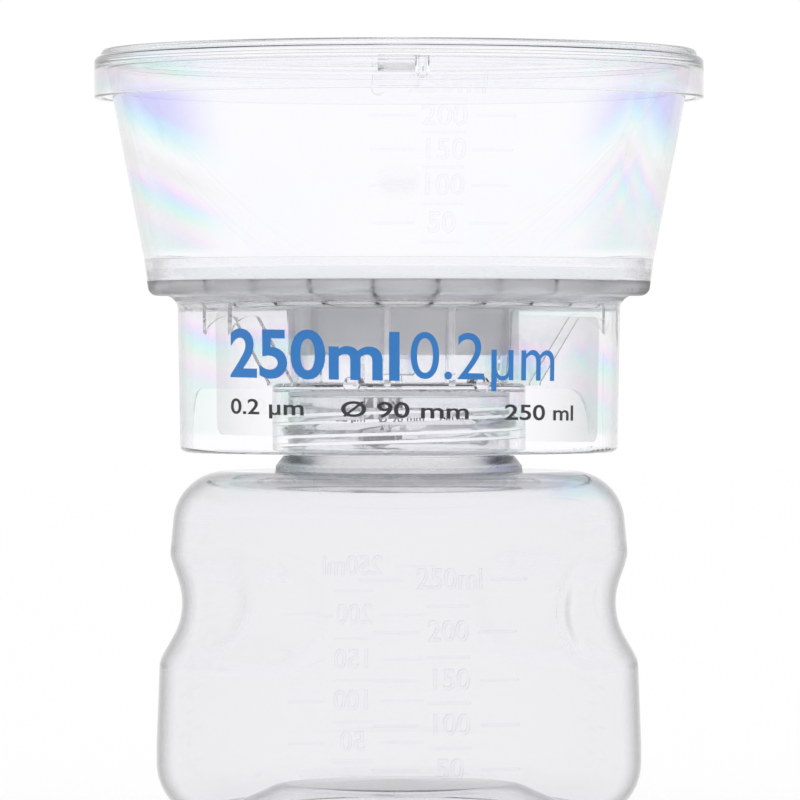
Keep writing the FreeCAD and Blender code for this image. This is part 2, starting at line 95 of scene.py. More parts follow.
STRESS_TURN = -9.0              # where the stress bands are clocked, from the front
SUPPORT = 0.12                  # how near a rounded corner a straight run gets its extra row
RELIEF = 0.08                   # how far figures and bars stand proud of their wall
RIM_SHADE_START, RIM_SHADE_DARKEST = 0.60, 0.84  # how far side on a wall is where its painted rim shade begins and is darkest
UPRIGHT_WALL = 0.5              # how far straight out a styrene wall faces to get the painted rim shade
STYRENE_IOR, COPOLYESTER_IOR = 1.58, 1.57
LIGHT_BOUNCES = 28              # more would brighten the lid and the cup by a little, and take longer
BAR_HEIGHT = 0.5


# ---------------------------------------------------------------- shapes

def rounded(corners, arc_step=15.0, longest=None, closed=True):
    """Points (r, z) of an outline through corners (r, z) or (r, z, radius)."""
    points = [Vector(corner[:2]) for corner in corners]
    runs = []
    for i, corner in enumerate(corners):
        here = points[i]
        if len(corner) < 3:
            runs.append([here])
            continue
        back = (points[i - 1] - here).normalized()
        ahead = (points[(i + 1) % len(points)] - here).normalized()
        half = back.angle(ahead) / 2
        radius = corner[2]
        start, end = here + back * radius / math.tan(half), here + ahead * radius / math.tan(half)
        centre = here + (back + ahead).normalized() * radius / math.sin(half)
        sweep = math.pi - 2 * half
        steps = max(2, math.ceil(math.degrees(sweep) / arc_step))
        first, last = start - centre, end - centre
        arc = []
        for k in range(steps + 1):
            share = k / steps
            spin = (math.sin((1 - share) * sweep) * first + math.sin(share * sweep) * last) / math.sin(sweep)
            arc.append(centre + spin)
        runs.append(arc)
    outline = []
    for i, run in enumerate(runs):
        outline += run
        if i == len(runs) - 1 and not closed:
            break
        start, end = run[-1], runs[(i + 1) % len(runs)][0]
        length = (end - start).length
        if length < 1e-5 or (abs(start.x) < 1e-6 and abs(end.x) < 1e-6):
            continue
        shares = []
        if length > 4 * SUPPORT:
            shares = [SUPPORT / length, 1 - SUPPORT / length]
        if longest and length > 2 * longest:
            count = math.ceil(length / longest)
            shares = shares[:1] + [k / count for k in range(1, count)] + shares[1:]
        outline += [start.lerp(end, share) for share in shares]
    return [tuple(p) for p in outline]


def lathe(name, outline, segments, bend=None):
    """Mesh turned about Z from a closed outline in millimetres. bend(r, z, angle) moves a point's radius."""
    bm = bmesh.new()
    rings = []
    for r, z in outline:
        if r < 1e-6:
            rings.append([bm.verts.new((0, 0, z * MM))])
            continue
        ring = []
        for j in range(segments):
            angle = TURN * j / segments
            radius = bend(r, z, angle) if bend else r
            ring.append(bm.verts.new((radius * math.cos(angle) * MM, radius * math.sin(angle) * MM, z * MM)))
        rings.append(ring)
    for a, b in zip(rings, rings[1:] + rings[:1]):
        if len(a) == 1 and len(b) == 1:
            continue
        for j in range(segments):
            k = (j + 1) % segments
            corners = [a[j % len(a)], a[k % len(a)], b[k % len(b)], b[j % len(b)]]
            bm.faces.new(list(dict.fromkeys(corners)))
    return finish_mesh(name, bm)


def finish_mesh(name, bm, sharp_degrees=40.0):
    """Object at the origin from a bmesh, its faces turned outwards and shaded smooth up to an angle."""
    bmesh.ops.remove_doubles(bm, verts=bm.verts, dist=1e-7)
    bmesh.ops.recalc_face_normals(bm, faces=bm.faces)
    mesh = bpy.data.meshes.new(name)
    bm.to_mesh(mesh)
    bm.free()
    mesh.polygons.foreach_set("use_smooth", [True] * len(mesh.polygons))
    mesh.set_sharp_from_angle(angle=math.radians(sharp_degrees))
    piece = bpy.data.objects.new(name, mesh)
    bpy.context.scene.collection.objects.link(piece)
    return piece


def fuse(piece, other):
    """Joins another solid into a piece, and removes the other."""
    modifier = piece.modifiers.new("Join", "BOOLEAN")
    modifier.operation = "UNION"
    modifier.solver = "EXACT"
    modifier.object = other
    bpy.context.view_layer.update()
    joined = bpy.data.meshes.new_from_object(piece.evaluated_get(bpy.context.evaluated_depsgraph_get()))
    piece.modifiers.remove(modifier)
    bpy.data.objects.remove(other)
    piece.data = joined
    joined.set_sharp_from_angle(angle=math.radians(40.0))


def front_angle(degrees):
    """Angle about Z, in radians from +X, of a direction given in degrees from the front."""
    return math.radians(degrees - 90.0)


def wrap(mesh, middle, radius_at, reference_z):
    """Bends a flat mesh (x across, y outwards, z up, in metres) round a surface of revolution.

    Those axes are left-handed on the surface, so the faces are turned the right way out again."""
    reference = radius_at(reference_z) * MM
    for vertex in mesh.vertices:
        x, out, z = vertex.co
        angle = front_angle(middle) + x / reference
        radius = radius_at(z / MM) * MM + out
        vertex.co = (radius * math.cos(angle), radius * math.sin(angle), z)
    mesh.flip_normals()


def slice_across(bm, step):
    """Cuts a flat mesh into upright strips, so that it can bend."""
    low = min(v.co.x for v in bm.verts)
    high = max(v.co.x for v in bm.verts)
    for i in range(1, math.ceil((high - low) / step)):
        geometry = bm.verts[:] + bm.edges[:] + bm.faces[:]
        bmesh.ops.bisect_plane(bm, geom=geometry, plane_co=(low + i * step, 0, 0), plane_no=(1, 0, 0))


def skirt_radius(z):
    share = (z - SKIRT_BOTTOM_Z) / (SKIRT_TOP_Z - SKIRT_BOTTOM_Z)
    return SKIRT_BOTTOM_R + share * (SKIRT_TOP_R - SKIRT_BOTTOM_R)


def funnel_radius(z):
    share = (z - CUP_TOP_Z) / (FUNNEL_TOP_Z - CUP_TOP_Z)
    return CUP_TOP_R + share * (FUNNEL_TOP_R - CUP_TOP_R)


def bottle_radius(z):
    if z < BELLY_Z:
        share = (z - HEEL_TOP_Z) / (BELLY_Z - HEEL_TOP_Z)
        return HEEL_R + max(0.0, share) * (BELLY_R - HEEL_R)
    return BELLY_R + (z - BELLY_Z) / (SHOULDER_Z - BELLY_Z) * (SHOULDER_R - BELLY_R)


def lettering(name, text, height, font_bold=0.0):
    """Flat text as a curve object, height millimetres tall in its figures, in the XY plane."""
    curve = bpy.data.curves.new(name, "FONT")
    curve.body = text
    curve.align_x = "CENTER"
    curve.align_y = "CENTER"
    curve.size = height * MM / 0.73
    curve.resolution_u = 4
    curve.offset = font_bold
    piece = bpy.data.objects.new(name, curve)
    bpy.context.scene.collection.objects.link(piece)
    return piece


def as_mesh(piece):
    """A plain mesh of an object with its modifiers applied, the object itself removed."""
    bpy.context.view_layer.update()
    evaluated = piece.evaluated_get(bpy.context.evaluated_depsgraph_get())
    mesh = bpy.data.meshes.new_from_object(evaluated)
    bpy.data.objects.remove(piece)
    return mesh


# ---------------------------------------------------------------- materials

class Graph:
    """A new material's node tree, with short ways to add to it."""

    def __init__(self, name):
        self.material = bpy.data.materials.new(name)
        self.material.use_nodes = True
        self.nodes, self.links = self.material.node_tree.nodes, self.material.node_tree.links
        self.shader, self.output = self.nodes["Principled BSDF"], self.nodes["Material Output"]

    def put(self, socket, value):
        """Gives an input a value, which may be another node's output."""
        if isinstance(value, bpy.types.NodeSocket):
            self.links.new(value, socket)
        else:
            socket.default_value = value

    def calculate(self, operation, *values):
        node = self.nodes.new("ShaderNodeMath")
        node.operation = operation
        for socket, value in zip(node.inputs, values):
            self.put(socket, value)
        return node.outputs[0]

    def fade(self, value, start, end, low=0.0, high=1.0):
        """Goes smoothly from low to high while value goes from start up to end."""
        node = self.nodes.new("ShaderNodeMapRange")
        node.interpolation_type = "SMOOTHSTEP"
        for socket, number in zip(node.inputs, (value, start, end, low, high)):
            self.put(socket, number)
        return node.outputs[0]

    def window(self, value, low, high, soft):
        """1 where value lies between low and high, fading to 0 within soft of them."""
        rise = self.fade(value, low, low + soft)
        return self.calculate("MULTIPLY", rise, self.fade(value, high - soft, high, 1.0, 0.0))

    def ramp(self, value, stops):
        """Colours between stops, each a position and a colour."""
        node = self.nodes.new("ShaderNodeValToRGB")
        elements = node.color_ramp.elements
        for position, colour in stops[1:-1]:
            elements.new(position).color = (*colour, 1)
        for element, (position, colour) in ((elements[0], stops[0]), (elements[-1], stops[-1])):
            element.position, element.color = position, (*colour, 1)
        self.put(node.inputs[0], value)
        return node.outputs[0]

    def blend(self, first, second, share, mode="MIX"):
        node = self.nodes.new("ShaderNodeMix")
        node.data_type, node.blend_type = "RGBA", mode
        for index, value in ((0, share), (6, first), (7, second)):
            if index and not isinstance(value, bpy.types.NodeSocket):
                value = (*value, 1)
            self.put(node.inputs[index], value)
        return node.outputs[2]

    def grey(self, value):
        """A colour of equal parts from a number."""
        node = self.nodes.new("ShaderNodeCombineXYZ")
        for socket in node.inputs:
            self.put(socket, value)
        return node.outputs[0]

    def noise(self, scale, detail=2.0, stretch=(1.0, 1.0, 1.0)):
        mapping = self.nodes.new("ShaderNodeMapping")
        mapping.inputs["Scale"].default_value = stretch
        self.put(mapping.inputs["Vector"], self.place())
        node = self.nodes.new("ShaderNodeTexNoise")
        node.inputs["Scale"].default_value = scale
        node.inputs["Detail"].default_value = detail
        self.put(node.inputs["Vector"], mapping.outputs[0])
        return node.outputs["Fac"]

    def place(self):
        return self.nodes.new("ShaderNodeTexCoord").outputs["Object"]

    def round_place(self):
        """Height and radius in millimetres, and the sideways share of the radius, -1 left to 1 right."""
        scaled = self.nodes.new("ShaderNodeVectorMath")
        scaled.operation = "SCALE"
        scaled.inputs["Scale"].default_value = 1000.0
        self.put(scaled.inputs[0], self.place())
        split = self.nodes.new("ShaderNodeSeparateXYZ")
        self.put(split.inputs[0], scaled.outputs[0])
        x, y, z = split.outputs
        radius = self.calculate("SQRT", self.calculate(
            "ADD", self.calculate("MULTIPLY", x, x), self.calculate("MULTIPLY", y, y)))
        turn = math.radians(STRESS_TURN)
        across = self.calculate("ADD", self.calculate("MULTIPLY", x, math.cos(turn)),
                                self.calculate("MULTIPLY", y, math.sin(turn)))
        return z, radius, self.calculate("DIVIDE", across, self.calculate("MAXIMUM", radius, 0.1))

    def outer_rim(self, level, upright):
        """Painted rim shade: 1 on walls seen face on, falling to a level where an outward wall turns side on.

        upright is how far a face has to look straight out from the axis to count as such a wall."""
        flat = self.nodes.new("ShaderNodeVectorMath")
        flat.operation = "MULTIPLY"
        flat.inputs[1].default_value = (1, 1, 0)
        self.put(flat.inputs[0], self.place())
        outward = self.nodes.new("ShaderNodeVectorMath")
        outward.operation = "DOT_PRODUCT"
        straight_out = self.nodes.new("ShaderNodeVectorMath")
        straight_out.operation = "NORMALIZE"
        self.put(straight_out.inputs[0], flat.outputs[0])
        self.put(outward.inputs[0], straight_out.outputs[0])
        self.put(outward.inputs[1], self.nodes.new("ShaderNodeTexCoord").outputs["Normal"])
        is_outer = self.calculate("GREATER_THAN", outward.outputs["Value"], upright)
        facing = self.nodes.new("ShaderNodeLayerWeight")
        facing.inputs["Blend"].default_value = 0.5
        # Painted shade: the colour darkens by the view angle as the wall turns side on.
        turned = self.fade(facing.outputs["Facing"], RIM_SHADE_START, RIM_SHADE_DARKEST)
        return self.calculate("MULTIPLY_ADD", self.calculate("MULTIPLY", turned, is_outer), level - 1.0, 1.0)

    def bump(self, height, strength, distance):
        node = self.nodes.new("ShaderNodeBump")
        node.inputs["Strength"].default_value = strength
        node.inputs["Distance"].default_value = distance
        self.put(node.inputs["Height"], height)
        return node.outputs["Normal"]

    def smoke(self, density):
        """Takes light along its way through the plastic, per metre."""
        node = self.nodes.new("ShaderNodeVolumeAbsorption")
        node.inputs["Color"].default_value = (0.03, 0.03, 0.08, 1)
        node.inputs["Density"].default_value = density
        self.links.new(node.outputs[0], self.output.inputs["Volume"])


def set_material(piece, material):
    piece.data.materials.clear()
    piece.data.materials.append(material)


def stress_colour(graph, place, left, right, low_z, high_z, inner_side):
    """Interference colours of frozen stress, in bands that fall away from a flow line on each side.

    left and right hold the flow line's side share, the height of its first pink band, how far the band
    falls in millimetres, and how wide it falls."""
    z, _, side = place
    pinks = []
    for centre, height, drop, width in (left, right):
        away = graph.calculate("DIVIDE", graph.calculate(
            "ABSOLUTE", graph.calculate("SUBTRACT", side, centre)), width)
        fall = graph.calculate("POWER", graph.calculate("MINIMUM", away, 1.3), 0.57)
        pinks.append(graph.calculate("MULTIPLY_ADD", fall, -drop, height))
    on_right = graph.calculate("GREATER_THAN", side, 0.0)
    gap = graph.calculate("SUBTRACT", pinks[1], pinks[0])
    pink = graph.calculate("MULTIPLY_ADD", on_right, gap, pinks[0])
    waver = graph.calculate("MULTIPLY", graph.calculate("SUBTRACT", graph.noise(60.0), 0.5), 2.2)
    level = graph.calculate("ADD", graph.calculate("SUBTRACT", z, pink), waver)
    order = graph.calculate("MULTIPLY_ADD", level, 1 / 30.0, 0.5)
    colours = graph.ramp(order, (
        (0.06, (0.86, 0.92, 0.90)), (0.15, (0.80, 0.93, 0.91)), (0.23, (0.93, 0.85, 0.96)),
        (0.31, (0.94, 0.92, 0.91)), (0.38, (0.77, 0.96, 0.88)), (0.42, (0.72, 0.94, 0.98)),
        (0.46, (0.79, 0.85, 1.0)), (0.50, (0.98, 0.81, 0.99)), (0.56, (0.94, 0.94, 0.95)),
        (0.62, (0.90, 0.90, 0.90)), (0.74, (0.98, 0.98, 0.98)), (0.81, (0.87, 0.98, 0.95)),
        (0.87, (0.77, 0.94, 0.99)), (0.93, (0.71, 0.88, 1.0)), (0.99, (0.76, 0.75, 0.99))))
    sides = graph.fade(graph.calculate("ABSOLUTE", side), inner_side, 0.93)
    share = graph.calculate("MULTIPLY", sides, graph.window(z, low_z, high_z, 2.0))
    return colours, share


def clear_plastic(name, tint, ior, stress, zones, rim, smoke=0.0):
    """Clear moulded plastic: refracting, with stress colours, textured zones and perhaps some smoke.

    A zone holds radii, heights, a roughness, a tint and the heights' softness, in millimetres. rim holds
    the level that painted rim shade darkens the colour to where an outer wall turns side on, and how upright
    such a wall stands."""
    graph = Graph(name)
    place = graph.round_place()
    graph.shader.inputs["Transmission Weight"].default_value = 1.0
    graph.shader.inputs["IOR"].default_value = ior
    colour, share = stress_colour(graph, place, *stress)
    colour = graph.blend(tint, colour, share)
    roughness = 0.0
    streaks = graph.noise(90.0, 3.0, (1.0, 1.0, 6.0))
    for radii, heights, rough, level, soft in zones:
        inside = graph.calculate("MULTIPLY", graph.window(place[1], *radii, 0.2),
                                 graph.window(place[0], *heights, soft))
        grain = graph.calculate("MULTIPLY", inside, graph.fade(streaks, 0.35, 0.6, 0.55, 1.0))
        roughness = graph.calculate("MULTIPLY_ADD", grain, rough, roughness)
        colour = graph.blend(colour, (level, level, level), inside, "MULTIPLY")
    # Painted rim shade: the colour is darkened where an outer wall turns side on.
    colour = graph.blend(colour, graph.grey(graph.outer_rim(*rim)), 1.0, "MULTIPLY")
    graph.put(graph.shader.inputs["Roughness"], roughness)
    graph.put(graph.shader.inputs["Base Color"], colour)
    graph.put(graph.shader.inputs["Normal"], graph.bump(graph.noise(55.0), 0.02, 0.0005))
    if smoke:
        graph.smoke(smoke)
    return graph.material


def thin_clear(name, tint, shine, painted_relief_shade):
    """Clear plastic too thin to bend the view: see-through, with painted shade on its slopes, which glow
    light where they face down and dark where they face up.
    """
    graph = Graph(name)
    nodes, links = graph.nodes, graph.links
    nodes.remove(graph.shader)
    clear = nodes.new("ShaderNodeBsdfTransparent")
    specks = graph.fade(graph.noise(700.0, 3.0), 0.72, 0.76, 1.0, 0.9)
    links.new(graph.blend(tint, graph.grey(specks), 1.0, "MULTIPLY"), clear.inputs["Color"])
    gloss = nodes.new("ShaderNodeBsdfGlossy")
    gloss.inputs["Roughness"].default_value = 0.1
    fresnel = nodes.new("ShaderNodeFresnel")
    fresnel.inputs["IOR"].default_value = 1.0 + shine
    glossy = nodes.new("ShaderNodeMixShader")
    for socket, source in zip(glossy.inputs, (fresnel, clear, gloss)):
        links.new(source.outputs[0], socket)

    facing = nodes.new("ShaderNodeLayerWeight")
    facing.inputs["Blend"].default_value = 0.5
    painted_shade_share = graph.fade(facing.outputs["Facing"], 0.1, 0.6, 0.0, painted_relief_shade)
    split = nodes.new("ShaderNodeSeparateXYZ")
    links.new(nodes.new("ShaderNodeNewGeometry").outputs["Normal"], split.inputs[0])
    # Painted shade: an emission that glows light on slopes facing down and dark on slopes facing up.
    painted_slope_shade = nodes.new("ShaderNodeEmission")
    links.new(graph.grey(graph.fade(split.outputs["Z"], -0.6, 0.6, 1.0, 0.1)), painted_slope_shade.inputs["Color"])
    both = nodes.new("ShaderNodeMixShader")
    links.new(painted_shade_share, both.inputs[0])
    links.new(glossy.outputs[0], both.inputs[1])
    links.new(painted_slope_shade.outputs[0], both.inputs[2])
    links.new(both.outputs[0], graph.output.inputs["Surface"])
    return graph.material


def plain_plastic(name, colour, roughness, transmission, grain_scale, grain_depth):
    """Satin moulded plastic or rubber with a fine uneven grain."""
    graph = Graph(name)
    graph.shader.inputs["Roughness"].default_value = roughness
    graph.shader.inputs["Transmission Weight"].default_value = transmission
    graph.shader.inputs["IOR"].default_value = 1.49
    grain = graph.noise(grain_scale, 4.0)
    darker = tuple(c * 0.94 for c in colour)
    graph.put(graph.shader.inputs["Base Color"], graph.blend(darker, colour, grain))
    graph.put(graph.shader.inputs["Normal"], graph.bump(grain, 0.3, grain_depth))
    return graph.material


def printed_ink(name, colour):
    """Flat printing ink, slightly mottled."""
    return plain_plastic(name, colour, 0.45, 0.0, 900.0, 0.00002)


# ---------------------------------------------------------------- geometry nodes

def bar_tree():
    """Box bars, one on each point of a scale, as wide as the point's own width."""
    tree = bpy.data.node_groups.new("Graduation Bars", "GeometryNodeTree")
    tree.interface.new_socket("Geometry", in_out="INPUT", socket_type="NodeSocketGeometry")
    height = tree.interface.new_socket("Bar Height", in_out="INPUT", socket_type="NodeSocketFloat")
    depth = tree.interface.new_socket("Bar Depth", in_out="INPUT", socket_type="NodeSocketFloat")
    finish = tree.interface.new_socket("Material", in_out="INPUT", socket_type="NodeSocketMaterial")
    tree.interface.new_socket("Geometry", in_out="OUTPUT", socket_type="NodeSocketGeometry")
    nodes, links = tree.nodes, tree.links
    start, end = nodes.new("NodeGroupInput"), nodes.new("NodeGroupOutput")
    size = nodes.new("ShaderNodeCombineXYZ")
    size.inputs["X"].default_value = 1.0
    links.new(start.outputs["Bar Depth"], size.inputs["Y"])
    links.new(start.outputs["Bar Height"], size.inputs["Z"])
    cube = nodes.new("GeometryNodeMeshCube")
    cube.inputs["Vertices X"].default_value = 12
    links.new(size.outputs[0], cube.inputs["Size"])
    width = nodes.new("GeometryNodeInputNamedAttribute")
    width.data_type = "FLOAT"
    width.inputs["Name"].default_value = "width"
    scale = nodes.new("ShaderNodeCombineXYZ")
    scale.inputs["Y"].default_value = 1.0
    scale.inputs["Z"].default_value = 1.0
    links.new(width.outputs["Attribute"], scale.inputs["X"])
    place = nodes.new("GeometryNodeInstanceOnPoints")
    links.new(start.outputs["Geometry"], place.inputs["Points"])
    links.new(cube.outputs["Mesh"], place.inputs["Instance"])
    links.new(scale.outputs[0], place.inputs["Scale"])
    real = nodes.new("GeometryNodeRealizeInstances")
    links.new(place.outputs[0], real.inputs[0])
    paint = nodes.new("GeometryNodeSetMaterial")
    links.new(real.outputs[0], paint.inputs["Geometry"])
    links.new(start.outputs["Material"], paint.inputs["Material"])
    links.new(paint.outputs[0], end.inputs[0])
    return tree, {"height": height.identifier, "depth": depth.identifier, "material": finish.identifier}


def scale_bars(bars, height, depth, material):
    """Flat mesh of the bars of a scale. bars holds (x, z, width) in millimetres."""
    mesh = bpy.data.meshes.new("scale_points")
    mesh.from_pydata([(x * MM, 0, z * MM) for x, z, _ in bars], [], [])
    width = mesh.attributes.new("width", "FLOAT", "POINT")
    width.data.foreach_set("value", [w * MM for _, _, w in bars])
    piece = bpy.data.objects.new("scale_points", mesh)
    bpy.context.scene.collection.objects.link(piece)
    tree, sockets = bar_tree()
    modifier = piece.modifiers.new("Graduation Bars", "NODES")
    modifier.node_group = tree
    modifier[sockets["height"]] = height * MM
    modifier[sockets["depth"]] = depth * MM
    modifier[sockets["material"]] = material
    return as_mesh(piece)


def graduations(name, body, middle, radius_at, labels, bars, figure_height, material):
    """Raised figures and bars with sloping sides, wrapped on a round wall."""
    bm = bmesh.new()
    for text, x, z in labels:
        piece = lettering(name + "_text", text, figure_height)
        piece.data.extrude = 0.02 * MM
        piece.data.bevel_depth = RELIEF * MM
        piece.data.bevel_resolution = 1
        mesh = as_mesh(piece)
        for vertex in mesh.vertices:
            across, up, out = vertex.co
            vertex.co = (across + x * MM, out + 0.2 * RELIEF * MM, up + z * MM)
        bm.from_mesh(mesh)
        bpy.data.meshes.remove(mesh)
    mesh = scale_bars(bars, BAR_HEIGHT, RELIEF * 2, material)
    bm.from_mesh(mesh)
    bpy.data.meshes.remove(mesh)
    piece = finish_mesh(name, bm)
    wrap(piece.data, middle, radius_at, labels[0][2])
    set_material(piece, material)
    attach(piece, body)
    return piece


# ---------------------------------------------------------------- sizes and colours

class FilterUnitSettings(bpy.types.PropertyGroup):
    segments: bpy.props.IntProperty(
        name="Segments", description="Steps round each turned piece", default=240, min=48, max=360)
    styrene_tint: bpy.props.FloatVectorProperty(
        name="Styrene Tint", description="Colour of the clear lid, funnel and base",
        subtype="COLOR", default=(0.985, 0.985, 0.995), min=0.0, max=1.0)
    bottle_tint: bpy.props.FloatVectorProperty(
        name="Bottle Tint", description="Colour of the clear bottle",
        subtype="COLOR", default=(0.985, 0.985, 0.995), min=0.0, max=1.0)
    bottle_smoke: bpy.props.FloatProperty(
        name="Bottle Smokiness", description="How much light the bottle takes per metre",
        default=42.0, min=0.0)
    print_colour: bpy.props.FloatVectorProperty(
        name="Print Colour", description="Colour of the large printing on the label",
        subtype="COLOR", default=(0.024, 0.223, 0.63), min=0.0, max=1.0)
    small_print_colour: bpy.props.FloatVectorProperty(
        name="Small Print Colour", description="Colour of the small printing on the label",
        subtype="COLOR", default=(0.03, 0.03, 0.035), min=0.0, max=1.0)
    figure_height: bpy.props.FloatProperty(
        name="Figure Height", description="Height of the raised figures",
        default=3.9 * MM, unit="LENGTH", min=1 * MM)
    backdrop_level: bpy.props.FloatProperty(
        name="Backdrop Level", description="Strength of the backdrop, where 1 is white", default=1.0, min=0.0)


def settings():
    return bpy.context.scene.filter_unit


def styrene(name, stress, zones, rim_shade_level):
    """Clear polystyrene of one piece, with its own stress colours, textured zones and painted rim shade."""
    tint = tuple(settings().styrene_tint)
    return clear_plastic(name, tint, STYRENE_IOR, stress, zones, (rim_shade_level, UPRIGHT_WALL))


# ---------------------------------------------------------------- operators

class FILTERUNIT_OT_stage(bpy.types.Operator):
    """Makes the floor, the backdrop light and the camera"""
    bl_idname = "filterunit.stage"
    bl_label = "Stage"

    def execute(self, context):
        self.make_world(context)
        self.make_floor()
        self.make_camera(context)
        scene = context.scene
        scene.view_settings.view_transform = "Standard"
        # Light is led a long way inside the clear walls, and a blurred bounce would lose some at each of them
        scene.cycles.max_bounces = LIGHT_BOUNCES
        scene.cycles.transmission_bounces = LIGHT_BOUNCES
        scene.cycles.glossy_bounces = LIGHT_BOUNCES
        scene.cycles.diffuse_bounces = 4
        scene.cycles.transparent_max_bounces = 24
        scene.cycles.blur_glossy = 0.0
        return {"FINISHED"}

    def make_world(self, context):
        world = bpy.data.worlds.new("light tent")
        context.scene.world = world
        world.use_nodes = True
        nodes, links = world.node_tree.nodes, world.node_tree.links
        background = nodes["Background"]
        place = nodes.new("ShaderNodeTexCoord")
        split = nodes.new("ShaderNodeSeparateXYZ")
        links.new(place.outputs["Generated"], split.inputs[0])
        ramp = nodes.new("ShaderNodeValToRGB")
        half = nodes.new("ShaderNodeMath")
        half.operation = "MULTIPLY_ADD"
        half.inputs[1].default_value = 0.5
        half.inputs[2].default_value = 0.5
        links.new(split.outputs["Z"], half.inputs[0])
        links.new(half.outputs[0], ramp.inputs["Fac"])
        elements = ramp.color_ramp.elements
        elements[0].position, elements[0].color = 0.0, (0.72, 0.72, 0.74, 1)
        elements[1].position, elements[1].color = 1.0, (0.93, 0.93, 0.95, 1)
        for position, level in ((0.28, 0.78), (0.40, 1.0), (0.68, 1.0), (0.82, 0.88)):
            stop = elements.new(position)
            stop.color = (level, level, level * 1.01, 1)
        path = nodes.new("ShaderNodeLightPath")
        shown = nodes.new("ShaderNodeMix")
        shown.data_type = "RGBA"
        shown.inputs[7].default_value = (1, 1, 1, 1)
        links.new(path.outputs["Is Camera Ray"], shown.inputs[0])
        links.new(ramp.outputs["Color"], shown.inputs[6])
        links.new(shown.outputs[2], background.inputs["Color"])
        background.inputs["Strength"].default_value = settings().backdrop_level
        world.cycles.sampling_method = "NONE"

    def make_floor(self):
        mesh = bpy.data.meshes.new("floor")
        bm = bmesh.new()
        bmesh.ops.create_circle(bm, cap_ends=True, segments=96, radius=4.0)
        bm.to_mesh(mesh)
        bm.free()
        floor = bpy.data.objects.new("floor", mesh)
        bpy.context.scene.collection.objects.link(floor)
        graph = Graph("white floor")
        graph.nodes.remove(graph.shader)
        # Only rays that show the backdrop see it white; what lights the object is a plain pale floor.
        glow = graph.nodes.new("ShaderNodeEmission")
        glow.inputs["Color"].default_value = (1, 1, 1, 1)
        glow.inputs["Strength"].default_value = 0.80
        shadowed = graph.nodes.new("ShaderNodeBsdfDiffuse")
        shadowed.inputs["Color"].default_value = (0.21, 0.21, 0.21, 1)
        white = graph.nodes.new("ShaderNodeAddShader")
        graph.links.new(glow.outputs[0], white.inputs[0])
        graph.links.new(shadowed.outputs[0], white.inputs[1])
        plain = graph.nodes.new("ShaderNodeBsdfDiffuse")
        plain.inputs["Color"].default_value = (0.8, 0.8, 0.8, 1)
        path = graph.nodes.new("ShaderNodeLightPath").outputs
        seen = graph.calculate("MAXIMUM", path["Is Camera Ray"], path["Is Glossy Ray"])
        seen = graph.calculate("MAXIMUM", seen, path["Is Transmission Ray"])
        choice = graph.nodes.new("ShaderNodeMixShader")
        graph.links.new(seen, choice.inputs[0])
        graph.links.new(plain.outputs[0], choice.inputs[1])
        graph.links.new(white.outputs[0], choice.inputs[2])
        graph.links.new(choice.outputs[0], graph.output.inputs["Surface"])
        set_material(floor, graph.material)

    def make_camera(self, context):
        distance = 1.3066
        eye_height = 0.0894
        aim = Vector((0.0002, 0, 0.0792))
        azimuth = math.radians(-9.0)
        camera_data = bpy.data.cameras.new("camera")
        camera_data.sensor_width = 36.0
        camera_data.lens = 311.6
        camera_data.clip_end = 50.0
        camera = bpy.data.objects.new("camera", camera_data)
        camera.location = (distance * math.sin(azimuth), -distance * math.cos(azimuth), eye_height)
        camera.rotation_euler = (aim - camera.location).to_track_quat("-Z", "Y").to_euler()
        context.scene.collection.objects.link(camera)
        context.scene.camera = camera


